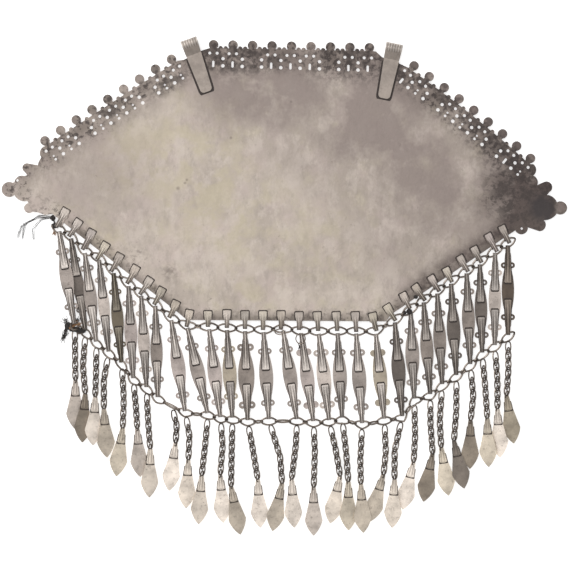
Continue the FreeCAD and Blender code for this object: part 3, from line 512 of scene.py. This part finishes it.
# The plaques: spindles of silver sheet with pierced ears, and a ribbed strip folded over each end as an
# eye. They differ in tarnish from light grey to dark brown, and lines of painted shade lie round the
# strips.
def islands(node):
    """The points of each solid of a node."""
    mesh = merged(node, bmesh.new())
    left, found = set(mesh.verts), []
    for seed in mesh.verts:
        if seed not in left:
            continue
        left.remove(seed)
        heap, points = [seed], []
        while heap:
            vertex = heap.pop()
            points.append(vertex.co.copy())
            for edge in vertex.link_edges:
                other = edge.other_vert(vertex)
                if other in left:
                    left.remove(other)
                    heap.append(other)
        found.append(points)
    mesh.free()
    return found


def mean(points):
    return sum(points, Vector()) / len(points)


def lie(points):
    """The middle of a long solid, the direction down its length and the one across its flat side."""
    centre = mean(points)
    spread = np.array([point - centre for point in points])
    axes = np.linalg.svd(spread, full_matrices=False)[2]
    along, normal = Vector(axes[0]), Vector(axes[2])
    return centre, -along if along.y > 0 else along, normal


def hanging(points, share=0.7 * MM):
    """The frame of a long hanging solid, at its upper end with x down its length, and that length in mm."""
    centre, along, normal = lie(points)
    reach = [point.dot(along) for point in points]
    low, high = min(reach), max(reach)
    start = mean([point for point, far in zip(points, reach) if far < low + share])
    end = mean([point for point, far in zip(points, reach) if far > high - share])
    along = (end - start).normalized()
    normal = (normal - along * normal.dot(along)).normalized()
    if normal.z < 0:
        normal = -normal
    stand = Matrix((along, normal.cross(along), normal)).transposed().to_4x4()
    stand.translation = centre + along * (low - centre.dot(along))
    return stand, (high - low) / MM


def plaque_strip(reach):
    """The stations of a strip that lies this far over a plaque, from its eye to its cut end."""
    return ((0.0, 1.05, 0.4, -0.7, 0.6), (0.35, 1.15, 0.9, -0.2, 0.2), (1.1, 1.18, 1.0, 0.03, 0.0),
            (reach * 0.3, 1.36, 1.0, 0.05, 0.0), (reach * 0.6, 1.6, 0.9, 0.05, 0.0),
            (reach * 0.82, 1.77, 0.5, 0.05, 0.0), (reach - 1.1, 1.86, 0.15, 0.04, 0.0),
            (reach - 0.5, 1.84, 0.05, 0.22, 0.0), (reach - 0.12, 1.62, 0.0, 0.12, 0.1),
            (reach + 0.05, 1.3, 0.0, -0.3, 0.8))


PLAQUES = 29
TONES = {"grey": (0.40, 0.345, 0.31), "dim": (0.31, 0.262, 0.23), "dark": (0.165, 0.138, 0.12),
         "brown": (0.13, 0.098, 0.075), "dark_olive": (0.155, 0.127, 0.09), "olive": (0.46, 0.395, 0.31),
         "light": (0.62, 0.54, 0.485), "pink": (0.53, 0.455, 0.42)}
PLAQUE_TONES = {2: "dark", 4: "light", 5: "dark_olive", 6: "pink", 7: "light", 8: "dim", 9: "pink",
                11: "pink", 12: "olive", 13: "dim", 16: "pink", 17: "light", 20: "olive", 21: "dark",
                23: "dim", 24: "dim", 25: "dark", 26: "dim", 27: "dark", 28: "light", 29: "brown"}
DULL_STRIPS, DULL = (4, 5, 6, 7, 12, 18, 22, 23, 24, 26, 28), 0.72
UPPER_STRIP, LOWER_STRIP = 20.0, 18.8
STRIP_FACING, STRIP_SHADE_LINE = (0.92, 0.5, 0.44), (1.55, 2.4, 0.36, 0.46, 1.3)
SHADE_LINE_START, SHADE_LINE_PAST_END = 3.4, 0.7
plaque_finishes = {name: worked_silver("plaque_" + name, tone, tinted=False, marks=0.45)
                   for name, tone in TONES.items()}
strips, strip_shade_lines = Shape("plaque_strips"), Shape("plaque_lines")
for number in range(1, PLAQUES + 1):
    node = "plaque_%02d" % number
    tone = PLAQUE_TONES.get(number, "grey")
    dress(node, plaque_finishes[tone])
    upper_end, length = hanging(islands(node)[0])
    lower_end = upper_end @ Matrix.Translation((length * MM, 0, 0)) @ Matrix.Rotation(math.pi, 4, "Z")
    light = DULL if number in DULL_STRIPS else 1.0
    tint = tuple(light * min(1.0, part / grey) ** 0.7 for part, grey in zip(TONES[tone], TONES["grey"]))
    for there, reach in ((upper_end, UPPER_STRIP), (lower_end, LOWER_STRIP)):
        ribbed_strip(strips, there, plaque_strip(reach), *STRIP_FACING, tint)
        # A line of painted shade round each strip, a dark patch under it.
        painted_shade_line(strip_shade_lines, there, SHADE_LINE_START, reach + SHADE_LINE_PAST_END, *STRIP_SHADE_LINE)
strip_silver = worked_silver("strip_silver", (0.72, 0.65, 0.595), dark=(0.03, 0.021, 0.018), rough=0.33,
                             metal=0.5, marks=0.2)
strips.done(strip_silver, "plaque_silver")
strip_shade_line = worked_silver("strip_shade_line", (0.07, 0.054, 0.045), metal=0.2, rough=0.6)
strip_shade_lines.done(strip_shade_line, "plaque_silver")


# The two chains that carry the plaques: long pinched loops of silver wire, one at each plaque, their tips
# linked. Where plaques hang further apart, narrow twisted links fill the gap between the loops. Two small
# rings are left over on the upper chain, beside the fifteenth and the sixteenth plaque.
WIRE, RING_WIRE = 0.51 * MM, 0.3 * MM
LOOP_STEPS, LOOP_LIFT = 28, 0.42 * MM
TIP_OVERLAP, LEAST_ROOM = 0.55 * MM, -0.5 * MM
TWIST_OVERLAP, TWIST_WIDTH = 0.8 * MM, 0.6 * MM
# Each chain's count of plaque loops, half width of a loop and its longest reach to a tip.
UPPER_LOOPS, LOWER_LOOPS = (29, 2.1 * MM, 5.2 * MM), (30, 1.9 * MM, 4.2 * MM)
# The spare rings: place and height, then both half axes in millimetres.
SPARE_RINGS = (((300.5, 338.5, 2.9), (2.5, 0, 0), (0, 2.7, 0.3)),
               ((279.5, 331.8, 2.0), (2.4, 0, 0.6), (0, 1.4, 0)))


def pinched_loop(shape, centre, left, right, width, side):
    """A lens-shaped loop about a centre, its tips at left and right, tilted to one side."""
    across = Vector((0, 0, 1)).cross(right - left).normalized()
    path, shades = [], []
    for turn in turns(LOOP_STEPS):
        tip = right if math.cos(turn) > 0 else left
        swell = math.sin(turn) * (0.5 + 0.5 * abs(math.sin(turn)))
        lift = Vector((0, 0, LOOP_LIFT * side * math.tanh(3 * math.sin(turn))))
        path.append(centre + (tip - centre) * abs(math.cos(turn)) + across * width * swell + lift)
        shades.append(0.25 + 0.6 * abs(math.cos(turn)) ** 3)
    shape.tube(path, WIRE, 8, True, shades)


def loops_through(shape, node, count, width, longest):
    """Loops at a chain's rings, reaching to the middle of the gaps, and twisted links in wide gaps."""
    centres = sorted([mean(points) for points in islands(node)[:count]], key=lambda centre: centre.x)
    for number, centre in enumerate(centres):
        left = centres[number - 1] if number else centre * 2 - centres[1]
        right = centres[number + 1] if number + 1 < len(centres) else centre * 2 - centres[-2]
        side = 1 if number % 2 else -1
        tips = []
        for other in (left, right):
            gap = other - centre
            tips.append(centre + gap.normalized() * min(gap.length / 2 + TIP_OVERLAP, longest))
        pinched_loop(shape, centre, tips[0], tips[1], width, side)
        room = (right - centre).length - 2 * longest
        if number + 1 < len(centres) and room > LEAST_ROOM:
            middle = (centre + right) / 2
            reach = (right - centre).normalized() * (room / 2 + TWIST_OVERLAP)
            pinched_loop(shape, middle, middle - reach, middle + reach, TWIST_WIDTH, -side)


def spare_ring(shape, centre, first, second):
    """A small ring; first and second are its two half axes in millimetres."""
    first, second = Vector(first) * MM, Vector(second) * MM
    path = [centre + first * math.cos(turn) + second * math.sin(turn) for turn in turns(24)]
    shape.tube(path, RING_WIRE, 8, True, 0.2)


chain_silver = worked_silver("chain_silver", (0.38, 0.32, 0.27), metal=0.8, rough=0.22, marks=0.9)
upper = Shape("upper_loops")
loops_through(upper, "upper_chain", *UPPER_LOOPS)
for spot, first, second in SPARE_RINGS:
    spare_ring(upper, place(*spot), first, second)
upper.done(chain_silver, "chain_silver", "upper_chain")

lower = Shape("lower_loops")
loops_through(lower, "lower_chain", *LOWER_LOOPS)
lower.done(chain_silver, "chain_silver", "lower_chain")


# The fringe: soft silver chains of flat oval links, with tight cross links at their joints, one chain to
# each pendant. They hang from the lower chain in three groups.
GROUPS = ("left", "middle", "right")
LINK_PITCH, LINK_WIRE, LINK_STEPS = 4.7 * MM, 0.4 * MM, 18
LINK_START, LINK_FLIP, NEARBY = 0.3 * MM, 0.28 * MM, 1.0 * MM
OPEN_REACH, OPEN_WIDTH = 0.62, 1.4 * MM
CROSS_REACH, CROSS_WIDTH, CROSS_ROLL = 0.42, 0.9 * MM, 0.9
END_POINTS = 42


class Run:
    """The middle line of one chain: straight from its upper end to a bend, and on to its low end."""

    def __init__(self, points):
        axis = lie(points)[1]
        ordered = sorted(points, key=lambda point: point.dot(axis))
        self.start, self.end = mean(ordered[:END_POINTS]), mean(ordered[-END_POINTS:])
        self.bend = mean(ordered[END_POINTS:-END_POINTS] or [self.start, self.end])
        self.first = (self.bend - self.start).length
        self.total = self.first + (self.end - self.bend).length

    def at(self, distance):
        if distance < self.first:
            return self.start + (self.bend - self.start) * (distance / self.first)
        return self.bend + (self.end - self.bend) * ((distance - self.first) / (self.total - self.first))


def fringe_link(shape, run, number, pitch, jitter):
    """One link of a chain: the even ones lie open and flat, the odd ones stand across as their joints."""
    middle = (number + 1) * pitch / 2 - LINK_START
    after, before = run.at(min(run.total, middle + NEARBY)), run.at(max(0.0, middle - NEARBY))
    direction = (after - before).normalized()
    across = Vector((0, 0, 1)).cross(direction).normalized()
    is_open = number % 2 == 0
    if is_open:
        half, wide, roll = pitch * OPEN_REACH, OPEN_WIDTH, jitter.uniform(-0.25, 0.25)
    else:
        half, wide, roll = pitch * CROSS_REACH, CROSS_WIDTH, CROSS_ROLL * (-1) ** (number // 2)
    flat = across * math.cos(roll) + Vector((0, 0, 1)) * math.sin(roll)
    flip = direction.cross(flat) * (LINK_FLIP * (1 if number % 4 < 2 else -1))
    path, shades = [], []
    for turn in turns(LINK_STEPS):
        bulge = math.copysign(abs(math.sin(turn)) ** 0.7, math.sin(turn))
        path.append(run.at(middle) + direction * (math.cos(turn) * half) + flat * (bulge * wide)
                    + flip * math.cos(turn))
        shades.append(0.95 - 0.85 * abs(math.sin(turn)) ** 2 if is_open else 0.55)
    shape.tube(path, LINK_WIRE, 6, True, shades)


for group in GROUPS:
    node = "fringe_" + group
    shape = Shape(node + "_links")
    jitter = random.Random(len(group))
    for points in islands(node):
        run = Run(points)
        count = max(2, round(run.total / LINK_PITCH))
        pitch = (run.total + 2 * LINK_START) / count
        for number in range(count * 2):
            fringe_link(shape, run, number, pitch, jitter)
    shape.done(chain_silver, "chain_silver", node)


# The pendants: lozenges of silver sheet, each with a short strip folded over its top as an eye. They
# differ in tint, from pinkish white to dark olive. Rows: tint, and the numbers of its pendants, from left.
PENDANT_TONES = (
    ((0.97, 0.88, 0.79), (3, 8, 11, 13, 15, 22, 28)),
    ((0.90, 0.81, 0.71), (7, 9, 10, 17, 21)),
    ((0.80, 0.715, 0.59), (5, 18, 24, 27)),
    ((0.66, 0.585, 0.49), (4, 12, 14, 19, 20)),
    ((0.66, 0.59, 0.53), (1, 6, 16)),
    ((0.44, 0.385, 0.30), (29,)),
    ((0.33, 0.28, 0.225), (2, 23, 26)),
    ((0.25, 0.215, 0.185), (25,)),
)
PENDANT_TINTS = {number: tint for tint, numbers in PENDANT_TONES for number in numbers}
PENDANT_STRIP = ((0.0, 0.95, 0.4, -0.55, 0.6), (0.3, 1.08, 0.6, -0.15, 0.2), (1.0, 1.1, 0.6, 0.03, 0.0),
                 (4.0, 1.5, 0.5, 0.04, 0.0), (6.8, 1.9, 0.3, 0.04, 0.0), (7.5, 2.0, 0.1, 0.2, 0.0),
                 (7.95, 1.8, 0.0, 0.1, 0.1), (8.2, 1.5, 0.0, -0.3, 0.8))
PENDANT_FACING, PENDANT_SHADE_LINE = (0.82, 0.45, 0.3), (3.2, 8.75, 1.95, 2.5, 0.36, 0.46, 0.9)


def spot_key(point):
    return tuple(round(part, 6) for part in point)


pendant_silver = worked_silver("pendant_silver", (1.0, 0.98, 0.96), rough=0.4, marks=0.4)
number = 0
for group in GROUPS:
    node = "pendants_" + group
    shape = Shape(node + "_lozenges", node)
    owners = {}
    for points in islands(node):
        number += 1
        tint = PENDANT_TINTS[number]
        owners.update({spot_key(point): tint for point in points})
        there = hanging(points, 0.3 * MM)[0]
        ribbed_strip(shape, there, PENDANT_STRIP, *PENDANT_FACING, tint)
        # A line of painted shade round the pendant's strip, in the pendant's own tint.
        painted_shade_line(shape, there, *PENDANT_SHADE_LINE, tint)
    for vertex in shape.mesh.verts:
        if spot_key(vertex.co) in owners:
            vertex[shape.tint] = Vector(owners[spot_key(vertex.co)])
            vertex[shape.shade] = 0.0
    shape.done(pendant_silver, "pendant_silver", node)


# The thread: worn black cord, knotted at the left end of each chain, with fine loose ends, and wound on the
# upper chain at the twenty-second strap and at a spare ring. Some of its ends are bleached to tan.
BLACK, TAN = PALE, (7.0, 4.6, 2.6)
KNOT_CORD, LEAST_HEIGHT = 0.26 * MM, 0.35 * MM


def strand(shape, chooser, points, count, spread, radius, tint):
    """Fine ends of thread along a line of points, spreading towards its end."""
    for number in range(count):
        sway = [Vector((chooser.gauss(0, 1), chooser.gauss(0, 1), abs(chooser.gauss(0, 0.5))))
                for point in points]
        path = []
        for index in range(len(points) - 1):
            for share in (0.0, 0.25, 0.5, 0.75):
                spot = points[index].lerp(points[index + 1], share)
                wave = sway[index].lerp(sway[index + 1], share)
                far = (index + share) / (len(points) - 1)
                path.append(spot + wave * spread * (0.3 + far))
        shape.tube(path, radius * chooser.uniform(0.7, 1.2), 5, tint=tint)


def knot(shape, chooser, centre, reach, count):
    """Cord wound round itself into a small tight knot."""
    for number in range(count):
        tilt = Vector([chooser.gauss(0, 1) for axis in range(3)]).normalized()
        side = tilt.orthogonal().normalized()
        other = tilt.cross(side)
        radius = reach * chooser.uniform(0.55, 1.0)
        path = []
        for turn in turns(16):
            spot = centre + (side * math.cos(turn) + other * math.sin(turn)) * radius
            spot.z = max(LEAST_HEIGHT, centre.z + (spot.z - centre.z) * 0.6)
            path.append(spot)
        shape.tube(path, KNOT_CORD, 6, True)


def thread_finish():
    thread = Finish("thread_black")
    fibre = thread.noise(1500, 4, 0.7)
    tint = thread.node("ShaderNodeAttribute", {"attribute_name": "tint"}, {}, "Color")
    colour = thread.mix(1.0, thread.mix(fibre, (0.01, 0.009, 0.009), (0.07, 0.06, 0.055)), tint, "MULTIPLY")
    return thread.finish(colour, 0.85, 0.0, ((fibre, 0.0001),))


# Lines of loose ends, charted on the photograph from the knot outwards.
UPPER_ENDS = (((52, 217), (40, 215), (25, 225), (22, 243)), ((52, 218), (38, 217), (22, 226), (16, 242)),
              ((52, 218), (42, 219), (33, 229), (34, 243)))
LOWER_ENDS = (((68, 326), (66, 322), (63, 319)), ((67, 327), (65, 333), (63, 338)),
              ((68, 327), (66, 334), (62, 342)), ((70, 325), (77, 322), (79, 319)),
              ((72, 328), (80, 329), (86, 330)))
# The windings on the upper chain: column, row, reach in millimetres and turns.
WINDINGS = ((415.5, 297.0, 1.1, 9), (409.0, 311.5, 1.4, 12), (404.5, 312.5, 0.8, 5))
black = thread_finish()
twist = random.Random(11)

tuft = Shape("thread_upper")
knot(tuft, twist, place(53.0, 218.0, 1.3), 1.5 * MM, 14)
knot(tuft, twist, place(55.0, 226.0, 1.2), 1.3 * MM, 12)
line = [place(54, 219, 1.3), place(55, 224, 1.5), place(54.5, 229, 1.0)]
strand(tuft, twist, line, 9, 0.4 * MM, 0.16 * MM, BLACK)
line = [place(54, 228, 1.0), place(55, 232, 0.9), place(54, 235, 0.6)]
strand(tuft, twist, line, 8, 0.5 * MM, 0.2 * MM, TAN)
for ends in UPPER_ENDS:
    line = [place(x, y, 1.2 - 0.28 * index) for index, (x, y) in enumerate(ends)]
    strand(tuft, twist, line, 7, 0.45 * MM, 0.07 * MM, BLACK)
tuft.done(black, "thread", "thread_tuft_upper")

tuft = Shape("thread_lower")
knot(tuft, twist, place(68.5, 326.0, 1.6), 1.9 * MM, 16)
knot(tuft, twist, place(75.0, 329.0, 2.4), 1.5 * MM, 12)
line = [place(70, 328, 2.6), place(76, 324, 3.0), place(82, 322, 2.6)]
strand(tuft, twist, line, 14, 0.7 * MM, 0.2 * MM, TAN)
line = [place(70, 330, 2.4), place(78, 331, 2.8), place(87, 332, 2.2)]
strand(tuft, twist, line, 16, 0.6 * MM, 0.18 * MM, BLACK)
for ends in LOWER_ENDS:
    line = [place(x, y, 1.9 - 0.4 * index) for index, (x, y) in enumerate(ends)]
    strand(tuft, twist, line, 16, 0.9 * MM, 0.12 * MM, BLACK)
tuft.done(black, "thread", "thread_tuft_lower")

wraps = Shape("thread_wraps")
for x, y, reach, count in WINDINGS:
    knot(wraps, twist, place(x, y, 3.0), reach * MM, count)
line = [place(298.0, 343.5, 3.2), place(299.5, 346.5, 3.4), place(298.5, 349.5, 3.2)]
strand(wraps, twist, line, 6, 0.3 * MM, 0.14 * MM, BLACK)
wraps.done(black, "thread")


# The view: straight down on a pure white ground, in soft even light a little stronger from the upper left.
# The ground is matt and glows a little, so that it stays white under the shadows of the fringe.
GROUND_SIZE, GROUND_HEIGHT, GROUND_GLOW = 3.0, -0.4 * MM, 0.55
SKY_STRENGTH = 0.52
WHITE = (1.0, 1.0, 1.0, 1.0)
SENSOR, FIELD, DISTANCE = 36.0, 0.3021, 1.6
CAMERA_SPOT = (0.34 * MM, 0.59 * MM, DISTANCE)
bpy.ops.mesh.primitive_plane_add(size=GROUND_SIZE, location=(0, 0, GROUND_HEIGHT))
floor = bpy.context.object
floor.name = "white_ground"
ground = Finish("white_ground")
floor.data.materials.append(ground.finish((0.92, 0.92, 0.92, 1.0), 0.9, 0.0, ()))
ground.shader.inputs["Emission Color"].default_value = WHITE
ground.shader.inputs["Emission Strength"].default_value = GROUND_GLOW

world = bpy.data.worlds.new("soft_white")
world.use_nodes = True
sky = world.node_tree.nodes["Background"]
sky.inputs["Color"].default_value = WHITE
sky.inputs["Strength"].default_value = SKY_STRENGTH
bpy.context.scene.world = world


def panel_light(name, energy, size, spot, turned=None):
    """A square soft light, facing down unless it is turned."""
    data = bpy.data.lights.new(name, "AREA")
    data.energy = energy
    data.size = size
    light = bpy.data.objects.new(name, data)
    light.location = spot
    if turned:
        light.rotation_euler = turned
    bpy.context.scene.collection.objects.link(light)


KEY_SPOT = (-0.75, 0.65, 0.95)
to_middle = (-Vector(KEY_SPOT)).to_track_quat("-Z", "Y").to_euler()
panel_light("key_light", 7.0, 0.7, KEY_SPOT, to_middle)
panel_light("top_light", 8.0, 1.1, (-0.1, 0.1, 2.2))

camera_data = bpy.data.cameras.new("camera")
camera_data.sensor_width = SENSOR
camera_data.lens = SENSOR * DISTANCE / FIELD
camera = bpy.data.objects.new("camera", camera_data)
camera.location = CAMERA_SPOT
bpy.context.scene.collection.objects.link(camera)
bpy.context.scene.camera = camera
bpy.context.scene.view_settings.view_transform = "Standard"
